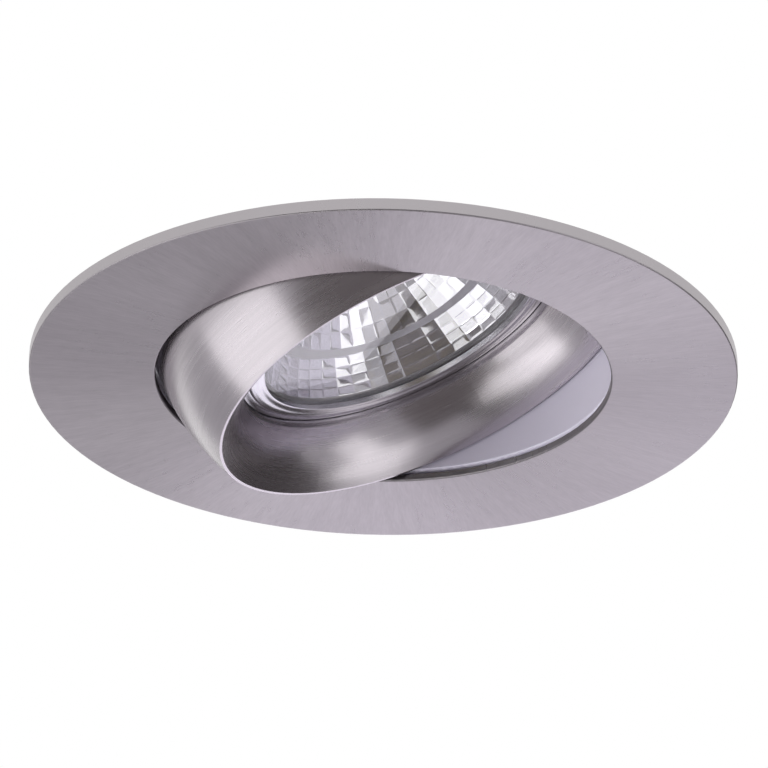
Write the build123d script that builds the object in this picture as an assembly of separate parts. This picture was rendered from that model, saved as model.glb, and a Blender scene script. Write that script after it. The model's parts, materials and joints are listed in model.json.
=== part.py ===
from build123d import *
import os
from math import ceil, cos, pi, radians, sin, sqrt

# Recessed ceiling spotlight with a ball shaped head that tilts inside a turning socket ring.
# Millimetres. The origin is the centre of the ceiling plane, where the gasket meets the
# ceiling, and +Z points up into the ceiling void. Head pieces are drawn about their own axis,
# with the tilt pivot at zero and the light shining down, and are then tilted as photographed.

# Lens and its ring
lens_view_radius = 18.9      # inner edge of the ring
lens_ring_width = 3.15
lens_ring_height = 0.65
lens_ring_shoulder = 0.4     # round at the ring's raised face
lens_ring_flange = 0.2       # thickness of the ring's outer flange
lens_groove_width = 1.0      # groove between the raised face and the flare
lens_ring_clearance = 0.15
lens_depth = 7.8             # lip plane back to the lens
lens_thickness = 1.6
seal_thickness = 0.6
seal_clearance = 0.1
seat_thickness = 1.2         # shelf that the lens seals against
seat_wall = 1.6

# Reflector
mouth_setback = 0.4          # mouth inside the ring's edge
reflector_step_radius = 15.75
reflector_step_width = 1.3
reflector_neck_radius = 7.0
reflector_step_depth = 4.2   # mouth back to the step
reflector_depth = 11.2       # mouth back to the neck's end
reflector_wall = 0.8
reflector_rim = 0.6          # wall at the mouth
reflector_flange_width = 1.9
reflector_flange_thickness = 0.8
reflector_gap = 0.2          # mouth to lens, and rim to shelf
reflector_sides = 48
reflector_rows = 4           # rows of facets in each tier
tier_bow = 0.25              # how far a tier's outline curves

# Light source
board_side = 18.0
board_thickness = 1.4
board_gap = 0.1
emitter_gap = 0.8            # emitter inside the reflector's neck
emitter_thickness = 0.5
pad_thickness = 0.3
neck_gap = 0.1               # reflector's neck to the board
holder_plate = 1.0
holder_wall = 1.6
holder_opening_gap = 0.4
holder_screw_inset = 4.2     # screws outside the board
holder_end = 1.1             # holder past the screw heads

# Heat sink
cup_wall = 1.7
cup_gap = 0.3                # reflector flange to the cup
base_thickness = 3.0
fin_height = 11.5
fin_thickness = 1.2
fin_spacing = 4.6
fin_inset = 1.0              # fins stand in from the cup's wall
ear_radius = 2.3
ear_thickness = 2.2
ear_offset = 2.2             # screw circle outside the cup
ear_count = 3

# Cable entry
cable_radius = 2.4
grommet_wall = 0.8
grommet_lip = 1.2
grommet_lip_height = 1.0
grommet_holder_gap = 0.8
grommet_pocket_gap = 1.0

# Ball head
ear_shell_gap = 1.5          # heat sink ears to the shell
shell_wall = 1.6
shell_rise = 4.5             # top edge of the ball shell above the pivot
lip_drop = 12.6              # lip plane below the pivot
lip_land = 0.35              # flat width of the lip
lip_recess = 0.1             # untilted lip behind the trim face
lip_root = 3.6               # solid depth of metal behind the lip
root_gap = 1.0               # width of the hollow at the bottom between shell and flare
flare_depth = 6.45           # lip plane back to the flare's inner edge
flare_bulge = 0.8            # roundness of the flare, towards the axis
tilt_at_rest = 24.0          # degrees, towards +X

# Screws
small_shank = 1.0
small_head = 1.7
small_head_height = 1.0
sink_shank = 1.0
sink_head = 1.9
sink_head_height = 1.2
pivot_shank = 1.5
pivot_head = 2.6
pivot_head_height = 1.4
pivot_engagement = 5.0
slot_width = 0.7
slot_depth = 0.5
thread_gap = 0.02
running_gap = 0.06
washer_thickness = 0.5
boss_radius = 3.0
boss_floor = 1.5             # pivot boss past the screw tip
post_floor = 1.2             # metal below the holes for the heat sink screws
sink_screw_end = 1.2         # hole left below those screws
overlap = 0.8                # how far joined shapes run into each other

# Socket ring that turns in the trim's collar
socket_gap = 0.46            # ball to socket
swivel_wall = 1.3
swivel_float = 0.1           # bearing land to the trim
swivel_land = 1.2            # width of the bearing land
shadow_gap = 0.5             # inner lower edge to the trim
swivel_edge_round = 0.4
swivel_step = 0.5            # the wall above the snap ring is set in by this
pivot_margin = 1.04          # ring above the pivot hole
pivot_seat_rise = 0.14       # flat washer seat proud of the ring
collar_gap = 0.24

# Trim ring with its collar
plate_thickness = 0.9
edge_thickness = 0.95        # at the opening
edge_round = 0.2
opening_gap = 0.5            # ball to opening
collar_wall = 1.6
collar_pivot_gap = 0.3       # collar's top to the pivot screws
spigot_step = 2.4            # spigot proud of the collar
spigot_height = 2.5
flange_overlap = 8.2         # trim past the locating spigot
rim_width = 1.0
rim_setback = 0.8            # rim edge below the ceiling plane
gasket_seat_step = 0.4       # the spigot is set in behind the gasket
gasket_thickness = 1.5
gasket_gap = 0.5

# Snap ring in the collar
snap_thickness = 1.0
snap_gap = 0.14              # to the socket ring and to the groove's bottom
snap_groove_depth = 0.94
snap_groove_gap = 0.06       # above and below the ring
snap_end_gap = 9.0           # opening of the ring
collar_above_snap = 0.8

# Spring clips
clip_steel = 0.8
bracket_pad_rise = 0.3       # flat pad proud of the collar
bracket_pad_margin = 0.2
bracket_ear_reach = 0.5      # ear past the bracket plate
bracket_ear_top = 2.2        # ear above the pin
bracket_ear_inset = 1.8      # ear inside the pin
bracket_screw_rise = 1.8     # above the spigot
bracket_screw_offset = 3.0
bracket_screw_tip = 0.3      # wall left behind the screw tip
bracket_swivel_gap = 0.6     # spring tab above the socket ring
tab_margin = 0.35            # spring tab past the spring's leg
pin_radius = 1.0
pin_inset = 0.7              # pin axis inside the bracket's inner face
pin_ear_gap = 0.03
pin_arm_gap = 0.08
pin_head_radius = 1.6
pin_head_height = 0.5
cheek_radius = 1.8
cheek_gap = 0.4              # arm cheek to bracket ear and tab
arm_length = 20.0
arm_plate_start = 3.2
arm_tip_inset = 1.0
arm_taper_length = 4.0
clip_rest_drop = 36.0        # degrees below level
clip_pad_length = 6.0
clip_pad_wall = 0.8
clip_pad_gap = 0.05
clip_pad_round = 0.4

# Clip springs
wire_diameter = 0.7
coil_radius = 1.85           # to the middle of the wire
coil_whole_turns = 4
coil_gap = 0.55              # between turns
coil_cheek_gap = 1.45
spring_leg = 8.0
spring_seat_gap = 0.05


def on_sphere(radius, height):
    """Distance from the axis of a sphere's surface, at a height from the sphere's centre."""
    return sqrt(radius**2 - height**2)


# Radii of the head's pieces, outwards from the lens
lens_ring_radius = lens_view_radius + lens_ring_width
lens_radius = lens_ring_radius - lens_ring_clearance
seat_bore = lens_ring_radius + lens_ring_clearance
seat_radius = seat_bore + seat_wall
reflector_mouth_radius = lens_view_radius - mouth_setback
reflector_rim_radius = reflector_mouth_radius + reflector_rim
seat_opening = reflector_rim_radius + reflector_gap
reflector_flange_radius = seat_opening + reflector_flange_width
emitter_radius = reflector_neck_radius - emitter_gap
cup_inner = reflector_flange_radius + cup_gap
cup_radius = cup_inner + cup_wall
fin_radius = cup_radius - fin_inset
ear_circle = cup_radius + ear_offset
ball_radius = ear_circle + ear_radius + ear_shell_gap + shell_wall
lip_radius = on_sphere(ball_radius, lip_drop)

# Heights along the head's own axis, from the pivot
lip_z = -lip_drop
lens_front = lip_z + lens_depth
lens_ring_front = lens_front - lens_ring_height
lens_back = lens_front + lens_thickness
seat_front = lens_back + seal_thickness
seat_back = seat_front + seat_thickness
mouth_z = lens_back + reflector_gap
step_z = mouth_z + reflector_step_depth
neck_z = mouth_z + reflector_depth
board_front = neck_z + neck_gap
board_back = board_front + board_thickness
base_front = board_back + pad_thickness
base_back = base_front + base_thickness
fin_top = base_back + fin_height

# Light source and cable entry, across the head's axis
holder_front = board_front - holder_plate
holder_screw_x = board_side / 2 + holder_screw_inset
holder_half_length = holder_screw_x + small_head + holder_end
holder_half_width = board_side / 2 + holder_wall
grommet_radius = cable_radius + grommet_wall
grommet_lip_radius = grommet_radius + grommet_lip
grommet_offset = holder_half_width + grommet_holder_gap + grommet_lip_radius

# Levels, from the ceiling plane
front_z = -(plate_thickness + gasket_thickness)
plate_back_z = front_z + plate_thickness
rebate_z = front_z + edge_thickness
pivot_z = front_z + lip_recess + lip_drop
swivel_top_z = pivot_z + pivot_shank + running_gap + pivot_margin
collar_top_z = pivot_z - pivot_head - collar_pivot_gap
snap_groove_top = collar_top_z - collar_above_snap
snap_groove_bottom = snap_groove_top - snap_thickness - 2 * snap_groove_gap
snap_bottom_z = snap_groove_bottom + snap_groove_gap

# Socket, collar and trim radii, outwards from the ball
opening_radius = on_sphere(ball_radius, pivot_z - rebate_z) + opening_gap
socket_radius = ball_radius + socket_gap
swivel_radius = socket_radius + swivel_wall
swivel_upper_radius = swivel_radius - swivel_step
collar_inner = swivel_radius + collar_gap
snap_groove_radius = collar_inner + snap_groove_depth
collar_radius = collar_inner + collar_wall
spigot_radius = collar_radius + spigot_step
gasket_seat_radius = spigot_radius - gasket_seat_step
trim_radius = spigot_radius + flange_overlap

# Pivot stations along Y
washer_inner_y = swivel_upper_radius + pivot_seat_rise
pivot_head_y = washer_inner_y + washer_thickness
pivot_tip_y = ball_radius - pivot_engagement

# Clip stations, on the +X side
bracket_face_x = collar_radius + bracket_pad_rise
bracket_outer_x = bracket_face_x + clip_steel
bracket_screw_z = spigot_height + bracket_screw_rise
bracket_screw_tip_x = collar_inner + bracket_screw_tip
tab_top_z = swivel_top_z + bracket_swivel_gap + clip_steel
pin_x = bracket_face_x - pin_inset
pin_z = tab_top_z + cheek_gap + cheek_radius
ear_bottom_z = swivel_top_z + cheek_gap
coil_pitch = wire_diameter + coil_gap
coil_angle = radians(90 + clip_rest_drop + 360 * coil_whole_turns)
coil_half_length = coil_pitch * coil_angle / (2 * pi) / 2
cheek_inner_y = coil_half_length + wire_diameter / 2 + coil_cheek_gap
cheek_outer_y = cheek_inner_y + clip_steel
ear_inner_y = cheek_outer_y + cheek_gap
ear_outer_y = ear_inner_y + clip_steel
tab_half_width = coil_half_length + wire_diameter / 2 + tab_margin
tab_inner_x = pin_x - coil_radius + wire_diameter / 2 + spring_seat_gap
arm_plate_high = coil_radius - wire_diameter / 2 - spring_seat_gap
arm_plate_low = arm_plate_high - clip_steel
arm_tip_half = cheek_outer_y - arm_tip_inset
arm_taper_end = arm_length - clip_pad_length
arm_taper_start = arm_taper_end - arm_taper_length

head_place = Pos(0, 0, pivot_z) * Rotation(0, -tilt_at_rest, 0)
arm_place = Pos(pin_x, 0, pin_z) * Rotation(0, clip_rest_drop, 0)
BOTTOM = (Align.CENTER, Align.CENTER, Align.MIN)


def outline(start, *steps):
    """Closed face from points: a step of one point is a straight run, of two is an arc."""
    edges = []
    here = start
    for step in steps:
        if len(step) == 1:
            edges.append(Line(here, step[0]))
        else:
            edges.append(ThreePointArc(here, step[0], step[1]))
        here = step[-1]
    edges.append(Line(here, start))
    return make_face(edges)


def turned(face):
    """Solid of revolution about Z of a face drawn as radius and height."""
    return revolve(Plane.XZ * face, Axis.Z)


def round_point(centre, radius, degrees_round):
    """Point on a small round, at an angle from the outward direction."""
    angle = radians(degrees_round)
    return (centre[0] + radius * cos(angle), centre[1] + radius * sin(angle))


def disc(radius, bottom, top):
    """Plain disc about Z."""
    return Pos(0, 0, bottom) * Cylinder(radius, top - bottom, align=BOTTOM)


def band(outer, inner, bottom, top):
    """Plain flat ring about Z."""
    return disc(outer, bottom, top) - disc(inner, bottom, top)


def block(low, high):
    """Box between two corners."""
    size = [b - a for a, b in zip(low, high)]
    middle = [(a + b) / 2 for a, b in zip(low, high)]
    return Pos(*middle) * Box(*size)


def rod(start, end, radius):
    """Round bar between two points."""
    along = Vector(*end) - Vector(*start)
    return Plane(origin=start, z_dir=along) * Cylinder(radius, along.length, align=BOTTOM)


def screw(head_seat, tip, shank, head, head_height):
    """Pan head screw with a slot; the head stands on its seat and the shank runs to the tip."""
    seat = Vector(*head_seat)
    outward = (seat - Vector(*tip)).normalized()
    top = seat + outward * head_height
    body = rod(tip, head_seat, shank) + rod(head_seat, tuple(top), head)
    slot = Box(2 * head + slot_width, slot_width, 2 * slot_depth)
    return body - Plane(origin=top, z_dir=outward) * slot


def around(shape, count):
    """Copies of a shape spread evenly about Z, each a solid of its own."""
    return [Rotation(0, 0, 360 * k / count) * shape for k in range(count)]


def both_sides(shape):
    """A shape and its copy turned half round about Z."""
    return around(shape, 2)


def trim_ring():
    """Flat trim with its opening, turned back rim, locating spigot and collar."""
    inner_round = (opening_radius + edge_round, front_z + edge_round)
    outer_round = (trim_radius - edge_round, front_z + edge_round)
    section = outline(
        (opening_radius, rebate_z),
        [(opening_radius, inner_round[1])],
        [round_point(inner_round, edge_round, 225), (inner_round[0], front_z)],
        [(outer_round[0], front_z)],
        [round_point(outer_round, edge_round, 315), (trim_radius, outer_round[1])],
        [(trim_radius, -rim_setback)],
        [(trim_radius - rim_width, -rim_setback)],
        [(trim_radius - rim_width, plate_back_z)],
        [(gasket_seat_radius, plate_back_z)],
        [(gasket_seat_radius, 0)],
        [(spigot_radius, 0)],
        [(spigot_radius, spigot_height)],
        [(collar_radius, spigot_height)],
        [(collar_radius, collar_top_z)],
        [(collar_inner, collar_top_z)],
        [(collar_inner, snap_groove_top)],
        [(snap_groove_radius, snap_groove_top)],
        [(snap_groove_radius, snap_groove_bottom)],
        [(collar_inner, snap_groove_bottom)],
        [(collar_inner, rebate_z)],
    )
    pad_half = ear_outer_y + bracket_pad_margin
    pad = block((snap_groove_radius, -pad_half, 0), (bracket_face_x, pad_half, collar_top_z))
    pad -= disc(collar_radius - overlap, 0, collar_top_z)
    body = turned(section) + both_sides(pad)
    for hole in clip_screw_lines(small_shank + thread_gap):
        body -= hole
    return body


def clip_screw_lines(radius):
    """The four clip screw shanks, as bars of a given radius."""
    bars = []
    for y in (-bracket_screw_offset, bracket_screw_offset):
        tip = (bracket_screw_tip_x, y, bracket_screw_z)
        bars += both_sides(rod(tip, (bracket_outer_x, y, bracket_screw_z), radius))
    return bars


def clip_screws():
    """Screws that hold the two clip brackets to the collar's pads."""
    screws = []
    for y in (-bracket_screw_offset, bracket_screw_offset):
        seat = (bracket_outer_x, y, bracket_screw_z)
        tip = (bracket_screw_tip_x, y, bracket_screw_z)
        screws += both_sides(screw(seat, tip, small_shank, small_head, small_head_height))
    return screws


def ceiling_gasket():
    """Foam ring in the tray behind the trim, proud of the rim."""
    return band(trim_radius - rim_width - gasket_gap, gasket_seat_radius + gasket_gap, plate_back_z, 0)


def swivel_snap_ring():
    """Open spring ring in the collar's groove, over the socket ring's shoulder."""
    inner = swivel_upper_radius + snap_gap
    outer = snap_groove_radius - snap_gap
    ring = band(outer, inner, snap_bottom_z, snap_bottom_z + snap_thickness)
    half = snap_end_gap / 2
    return ring - block((-half, 0, 0), (half, 2 * outer, collar_top_z))


def swivel_ring():
    """White socket ring: ball shaped inside up to the pivot, plain above, with a bearing land."""
    edge_z = rebate_z + shadow_gap
    edge_radius = on_sphere(socket_radius, pivot_z - edge_z - swivel_edge_round)
    edge_centre = (edge_radius + swivel_edge_round, edge_z + swivel_edge_round)
    land_z = rebate_z + swivel_float
    land_radius = swivel_radius - swivel_land
    mid_z = (edge_centre[1] + pivot_z) / 2
    section = outline(
        (socket_radius, pivot_z),
        [(on_sphere(socket_radius, pivot_z - mid_z), mid_z), (edge_radius, edge_centre[1])],
        [round_point(edge_centre, swivel_edge_round, 225), (edge_centre[0], edge_z)],
        [(land_radius, edge_z)],
        [(land_radius, land_z)],
        [(swivel_radius, land_z)],
        [(swivel_radius, snap_groove_bottom)],
        [(swivel_upper_radius, snap_groove_bottom)],
        [(swivel_upper_radius, swivel_top_z)],
        [(socket_radius, swivel_top_z)],
    )
    body = turned(section)
    for side in (-1, 1):
        seat = rod((0, side * socket_radius, pivot_z), (0, side * washer_inner_y, pivot_z),
                   swivel_top_z - pivot_z)
        body += seat - disc(socket_radius, 0, swivel_top_z)
    hole = rod((0, -pivot_head_y, pivot_z), (0, pivot_head_y, pivot_z), pivot_shank + running_gap)
    return body - hole


def head_bezel():
    """Ball shaped shell with a rounded flare inside its lip, a lens seat, pivot and screw bosses."""
    inner_ball = ball_radius - shell_wall
    root_z = lip_z + lip_root
    root_radius = on_sphere(inner_ball, root_z)
    flare_start = (seat_bore, lip_z + flare_depth)
    flare_end = (lip_radius - lip_land, lip_z)
    chord = Vector(flare_end[0] - flare_start[0], flare_end[1] - flare_start[1])
    middle = Vector(*flare_start) + chord / 2
    bulge = middle + Vector(chord.Y, -chord.X).normalized() * flare_bulge
    section = outline(
        (lip_radius, lip_z),
        [(ball_radius, 0), (on_sphere(ball_radius, shell_rise), shell_rise)],
        [(on_sphere(inner_ball, shell_rise), shell_rise)],
        [(inner_ball, 0), (root_radius, root_z)],
        [(root_radius - root_gap, root_z)],
        [(seat_radius, lens_front)],
        [(seat_radius, seat_back)],
        [(seat_opening, seat_back)],
        [(seat_opening, seat_front)],
        [(seat_bore, seat_front)],
        [flare_start],
        [(bulge.X, bulge.Y), flare_end],
    )
    body = turned(section)
    for side in (-1, 1):
        tip = (0, side * (pivot_tip_y - boss_floor), 0)
        body += rod(tip, (0, side * (inner_ball + overlap), 0), boss_radius)
        body -= rod((0, side * pivot_tip_y, 0), (0, side * ball_radius, 0), pivot_shank + thread_gap)
    post = Pos(ear_circle, 0, lens_front) * Cylinder(ear_radius, seat_back - lens_front, align=BOTTOM)
    hole = Pos(ear_circle, 0, lens_front + post_floor)
    hole *= Cylinder(sink_shank + thread_gap, seat_back - lens_front, align=BOTTOM)
    for piece in around(post - disc(seat_radius - overlap, lens_front, seat_back), ear_count):
        body += piece
    for piece in around(hole, ear_count):
        body -= piece
    return body


def pivot_screws():
    """The two screws that the head tilts on."""
    return [screw((0, side * pivot_head_y, 0), (0, side * pivot_tip_y, 0),
                  pivot_shank, pivot_head, pivot_head_height) for side in (-1, 1)]


def tilt_washers():
    """Friction washers under the pivot screws' heads."""
    washers = []
    for side in (-1, 1):
        inner = (0, side * washer_inner_y, 0)
        outer = (0, side * pivot_head_y, 0)
        washer = rod(inner, outer, pivot_head)
        washers.append(washer - rod(inner, outer, pivot_shank + running_gap))
    return washers


def lens_ring():
    """Bright ring that holds the lens: a raised face with a round shoulder, and a flange round it."""
    shoulder_radius = lens_ring_radius - lens_groove_width
    shoulder = (shoulder_radius - lens_ring_shoulder, lens_ring_front + lens_ring_shoulder)
    flange_front = lens_front - lens_ring_flange
    section = outline(
        (lens_view_radius, lens_front),
        [(lens_view_radius, lens_ring_front)],
        [(shoulder[0], lens_ring_front)],
        [round_point(shoulder, lens_ring_shoulder, 315), (shoulder_radius, shoulder[1])],
        [(shoulder_radius, flange_front)],
        [(lens_ring_radius, flange_front)],
        [(lens_ring_radius, lens_front)],
    )
    return turned(section)


def lens_seal():
    """Flat rubber ring between the lens and its seat."""
    return band(seat_bore - seal_clearance, seat_opening + seal_clearance, lens_back, seat_front)


def tier(mouth, far, front, back):
    """One tier of flat facets: rows of ruled bands between regular polygons on a gentle curve."""
    bands = []
    for row in range(reflector_rows):
        ends = []
        for share in (row / reflector_rows, (row + 1) / reflector_rows):
            radius = mouth + (far - mouth) * ((1 - tier_bow) * share + tier_bow * share**2)
            height = front + (back - front) * share
            ends.append(Pos(0, 0, height) * RegularPolygon(radius, reflector_sides))
        bands.append(loft(ends, ruled=True))
    return bands


def reflector_outside(height):
    """Outer radius of the reflector's straight back, between its step and its neck."""
    share = (neck_z - height) / (neck_z - step_z)
    return reflector_neck_radius + share * (reflector_step_radius - reflector_neck_radius) + reflector_wall


def reflector():
    """Two tier faceted cup with a step ring between the tiers, a flange and a neck."""
    second_mouth = reflector_step_radius - reflector_step_width
    section = outline(
        (reflector_neck_radius - reflector_wall, neck_z),
        [(reflector_outside(neck_z), neck_z)],
        [(reflector_outside(step_z), step_z)],
        [(reflector_flange_radius, seat_back + reflector_flange_thickness)],
        [(reflector_flange_radius, seat_back)],
        [(reflector_rim_radius, seat_back)],
        [(reflector_rim_radius, mouth_z)],
        [(reflector_neck_radius - reflector_wall, mouth_z)],
    )
    body = turned(section)
    for piece in tier(reflector_mouth_radius, reflector_step_radius, mouth_z, step_z):
        body -= piece
    for piece in tier(second_mouth, reflector_neck_radius, step_z, neck_z):
        body -= piece
    return body


def cob_board():
    """Square aluminium board that carries the emitter."""
    half = board_side / 2
    return block((-half, -half, board_front), (half, half, board_back))


def led_emitter():
    """Round phosphor disc on the board's face, inside the reflector's neck."""
    return disc(emitter_radius, board_front - emitter_thickness, board_front)


def thermal_pad():
    """Thin pad between the board and the heat sink."""
    half = board_side / 2
    return block((-half, -half, board_back), (half, half, base_front))


def holder_screw_seats():
    """Places of the two holder screws, on the holder's front face."""
    return [(side * holder_screw_x, 0, holder_front) for side in (-1, 1)]


def cob_holder():
    """Plastic clamp over the board's border, with an opening for the reflector's neck."""
    opening = reflector_outside(holder_front) + holder_opening_gap
    half_pocket = board_side / 2 + board_gap
    body = block((-holder_half_length, -holder_half_width, holder_front),
                 (holder_half_length, holder_half_width, base_front))
    body = fillet(body.edges().filter_by(Axis.Z), small_head + holder_end)
    body -= block((-half_pocket, -half_pocket, board_front), (half_pocket, half_pocket, base_front))
    body -= disc(opening, holder_front, base_front)
    for seat in holder_screw_seats():
        body -= rod(seat, (seat[0], seat[1], base_front), small_shank + running_gap)
    return body


def holder_screws():
    """Screws that clamp the holder to the heat sink."""
    tip = (base_front + base_back) / 2
    return [screw(seat, (seat[0], seat[1], tip), small_shank, small_head, small_head_height)
            for seat in holder_screw_seats()]


def heat_sink():
    """Finned aluminium cup that closes the back of the head."""
    body = disc(cup_radius, seat_back, base_back) - disc(cup_inner, seat_back, base_front)
    fins_each_side = int(fin_radius // fin_spacing)
    envelope = disc(fin_radius, base_back, fin_top)
    for index in range(-fins_each_side, fins_each_side + 1):
        left = index * fin_spacing - fin_thickness / 2
        fin = block((left, -fin_radius, base_back), (left + fin_thickness, fin_radius, fin_top))
        body += fin & envelope
    ear = Pos(ear_circle, 0, seat_back) * Cylinder(ear_radius, ear_thickness, align=BOTTOM)
    ear += block((cup_radius - overlap, -ear_radius, seat_back),
                 (ear_circle, ear_radius, seat_back + ear_thickness))
    hole = Pos(ear_circle, 0, seat_back)
    hole *= Cylinder(sink_shank + running_gap, ear_thickness, align=BOTTOM)
    for piece in around(ear - disc(cup_radius - overlap, seat_back, base_front), ear_count):
        body += piece
    for piece in around(hole, ear_count):
        body -= piece
    pocket = grommet_lip_radius + grommet_pocket_gap
    body -= Pos(0, grommet_offset, 0) * disc(pocket, base_back, fin_top)
    body -= Pos(0, grommet_offset, 0) * disc(grommet_radius, base_front, base_back)
    for seat in holder_screw_seats():
        tip = (seat[0], seat[1], (base_front + base_back) / 2)
        body -= rod((seat[0], seat[1], base_front), tip, small_shank + thread_gap)
    return body


def heat_sink_screws():
    """Screws through the heat sink's ears into the head's bosses."""
    seat = (ear_circle, 0, seat_back + ear_thickness)
    tip = (ear_circle, 0, lens_front + post_floor + sink_screw_end)
    return around(screw(seat, tip, sink_shank, sink_head, sink_head_height), ear_count)


def cable_grommet():
    """Rubber bush where the supply cable enters; the cable itself isn't part of the model."""
    body = disc(grommet_radius, base_front, base_back)
    body += disc(grommet_lip_radius, base_back, base_back + grommet_lip_height)
    body += disc(grommet_lip_radius, base_front - grommet_lip_height, base_front)
    bore = disc(cable_radius, base_front - grommet_lip_height, base_back + grommet_lip_height)
    return Pos(0, grommet_offset, 0) * (body - bore)


def clip_bracket():
    """Pressed steel bracket: a plate on the collar's pad, two ears for the pin and a spring tab."""
    plate_top = ear_bottom_z - cheek_gap
    plate = block((bracket_face_x, -ear_outer_y, spigot_height), (bracket_outer_x, ear_outer_y, plate_top))
    tab = block((tab_inner_x, -tab_half_width, tab_top_z - clip_steel),
                (bracket_outer_x, tab_half_width, tab_top_z))
    tab += block((bracket_face_x, -tab_half_width, spigot_height),
                 (bracket_outer_x, tab_half_width, tab_top_z))
    body = plate + tab
    ear_outer_x = bracket_outer_x + bracket_ear_reach
    ear_top_z = pin_z + bracket_ear_top
    for side in (-1, 1):
        low_y, high_y = sorted((side * ear_inner_y, side * ear_outer_y))
        body += block((bracket_face_x, low_y, spigot_height), (ear_outer_x, high_y, ear_top_z))
        body += block((pin_x - bracket_ear_inset, low_y, ear_bottom_z), (ear_outer_x, high_y, ear_top_z))
    for bar in clip_screw_lines(small_shank + running_gap):
        body -= bar
    pin_line = rod((pin_x, -ear_outer_y, pin_z), (pin_x, ear_outer_y, pin_z), pin_radius + pin_ear_gap)
    return body - pin_line


def clip_pin():
    """Headed hinge pin through the bracket's ears."""
    ends = [side * (ear_outer_y + pin_ear_gap) for side in (-1, 1)]
    body = rod((pin_x, ends[0], pin_z), (pin_x, ends[1], pin_z), pin_radius)
    for side, end in zip((-1, 1), ends):
        body += rod((pin_x, end, pin_z), (pin_x, end + side * pin_head_height, pin_z), pin_head_radius)
    return body


def clip_arm():
    """Pressed steel arm: a plate that narrows to its tip, between two cheeks on the pin."""
    plan = Polyline((arm_plate_start, -cheek_outer_y), (arm_taper_start, -cheek_outer_y),
                    (arm_taper_end, -arm_tip_half), (arm_length, -arm_tip_half),
                    (arm_length, arm_tip_half), (arm_taper_end, arm_tip_half),
                    (arm_taper_start, cheek_outer_y), (arm_plate_start, cheek_outer_y), close=True)
    body = Pos(0, 0, arm_plate_low) * extrude(make_face(plan), clip_steel)
    side_view = Polyline((0, -cheek_radius), (arm_plate_start, -cheek_radius),
                         (arm_taper_start, arm_plate_low), (arm_taper_start, arm_plate_high),
                         (0, arm_plate_high), close=True)
    cheek_face = Plane.XZ * (make_face(side_view) + Circle(cheek_radius))
    cheek = extrude(cheek_face, clip_steel, dir=(0, 1, 0))
    body += Pos(0, cheek_inner_y, 0) * cheek
    body += Pos(0, -cheek_outer_y, 0) * cheek
    pin_line = rod((0, -cheek_outer_y, 0), (0, cheek_outer_y, 0), pin_radius + pin_arm_gap)
    return arm_place * (body - pin_line)


def clip_pad():
    """Rubber sleeve over the arm's tip."""
    half = arm_tip_half + clip_pad_wall
    sleeve = block((arm_taper_end + clip_pad_gap, -half, arm_plate_low - clip_pad_wall),
                   (arm_length + clip_pad_wall, half, arm_plate_high + clip_pad_wall))
    sleeve = fillet(sleeve.edges().filter_by(Axis.X), clip_pad_round)
    slot_half = arm_tip_half + clip_pad_gap
    slot = block((arm_taper_end, -slot_half, arm_plate_low - clip_pad_gap),
                 (arm_length + clip_pad_gap, slot_half, arm_plate_high + clip_pad_gap))
    return arm_place * (sleeve - slot)


def biarc(start, start_way, end, end_way):
    """Two tangent arcs from start to end that leave and arrive in the given unit directions."""
    run = end - start
    ways = start_way + end_way
    spread = 2 * (1 - start_way.dot(end_way))
    along = run.dot(ways)
    reach = (sqrt(along**2 + spread * run.dot(run)) - along) / spread
    middle = (start + start_way * reach + end - end_way * reach) / 2
    first = TangentArc(start, middle, tangent=start_way)
    second = TangentArc(end, middle, tangent=end_way * -1)
    return [first, second]


def spring_path():
    """Moving leg on the arm, a right handed helix on biarcs of about a quarter turn, fixed leg.

    At an angle a round the pin the wire's middle is at coil_radius from the pin's axis, and
    it moves along the pin by coil_pitch in each turn.
    """
    start_angle = radians(90 - clip_rest_drop)
    steps = ceil(coil_angle / (pi / 2))
    points = []
    ways = []
    for k in range(steps + 1):
        turn = coil_angle * k / steps
        angle = start_angle + turn
        along = coil_pitch * turn / (2 * pi) - coil_half_length
        points.append(Vector(pin_x + coil_radius * cos(angle), along, pin_z + coil_radius * sin(angle)))
        climb = 0 if k in (0, steps) else coil_pitch / (2 * pi)
        ways.append(Vector(-coil_radius * sin(angle), climb, coil_radius * cos(angle)).normalized())
    edges = [Line(points[0] - ways[0] * spring_leg, points[0])]
    for k in range(steps):
        edges += biarc(points[k], ways[k], points[k + 1], ways[k + 1])
    leg_end = points[-1] + ways[-1] * (pin_z - tab_top_z + clip_steel)
    edges.append(Line(points[-1], leg_end))
    return Wire(edges)


def clip_spring():
    """Torsion spring on the clip's pin, one unbroken round wire."""
    path = spring_path()
    section = Plane(origin=path @ 0, z_dir=path % 0) * Circle(wire_diameter / 2)
    return sweep(section, path=path)


def spring_self_gap():
    """Least gap between neighbouring turns of the wire, measured on points along its middle."""
    path = spring_path()
    count = 600
    points = [path @ (k / count) for k in range(count + 1)]
    apart = int(count * pi * coil_radius / path.length)
    least = min((points[i] - points[j]).length
                for i in range(count + 1) for j in range(i + apart, count + 1))
    return least - wire_diameter


def head_pieces():
    """Every piece of the tilting head, drawn about the head's own axis."""
    return {
        "head_bezel": head_bezel(),
        "pivot_screws": pivot_screws(),
        "tilt_washers": tilt_washers(),
        "lens_ring": lens_ring(),
        "lens": disc(lens_radius, lens_front, lens_back),
        "lens_seal": lens_seal(),
        "reflector": reflector(),
        "cob_holder": cob_holder(),
        "holder_screws": holder_screws(),
        "cob_board": cob_board(),
        "led_emitter": led_emitter(),
        "thermal_pad": thermal_pad(),
        "heat_sink": heat_sink(),
        "heat_sink_screws": heat_sink_screws(),
        "cable_grommet": cable_grommet(),
    }


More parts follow.
